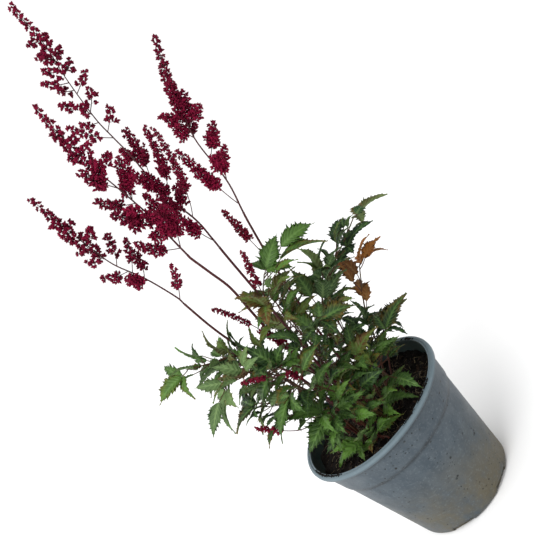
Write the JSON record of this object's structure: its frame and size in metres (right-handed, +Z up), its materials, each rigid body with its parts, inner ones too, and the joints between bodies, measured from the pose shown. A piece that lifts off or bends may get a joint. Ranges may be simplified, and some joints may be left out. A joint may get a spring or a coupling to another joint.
{
  "type": "potted astilbe",
  "caption": "Flowering astilbe perennial with crimson feathery plumes and serrated compound leaves, growing in soil in a tapered grey nursery pot.",
  "frame": {"origin": "centre of the pot's flat base, on the surface it stands on", "axes": "+Z up along the pot's axis; -Y towards the side that was seen; +X to the right as seen from -Y"},
  "size_m": [0.2897, 0.2222, 0.628],
  "materials": {
    "pot": "satin moulded plastic, scuffed",
    "soil": "moist bark and peat compost",
    "stem": "smooth maroon-brown stem",
    "plume": "soft crimson florets",
    "leaf": "veined green leaf, slightly glossy",
    "bronze": "dry bronze leaf"
  },
  "bodies": {
    "root": {"pot": "pot", "soil": "soil", "stalk_rear": "stem", "plume_rear": "plume", "stalk_front": "stem", "plume_front": "plume", "stalk_left": "stem", "plume_left": "plume", "stalk_right": "stem", "plume_right": "plume", "shoot_top": "plume", "shoot_left": "plume", "shoot_front": "plume", "shoot_low": "plume", "shoot_pink": "plume", "frond_top_right": "leaf", "frond_brown": "bronze", "frond_top": "leaf", "frond_middle": "leaf", "frond_centre": "leaf", "frond_heart": "leaf", "frond_right": "leaf", "frond_dark": "leaf", "frond_left": "leaf", "frond_left_pale": "leaf", "frond_front_left": "leaf", "frond_front_tall": "leaf", "frond_front_low": "leaf", "frond_front_short": "leaf", "frond_soil_left": "leaf", "frond_soil_right": "leaf", "frond_rear": "leaf", "frond_rear_left": "leaf", "frond_rear_right": "leaf", "frond_left_low": "leaf", "frond_rear_low": "leaf", "frond_right_low": "leaf"}
  },
  "joints": []
}
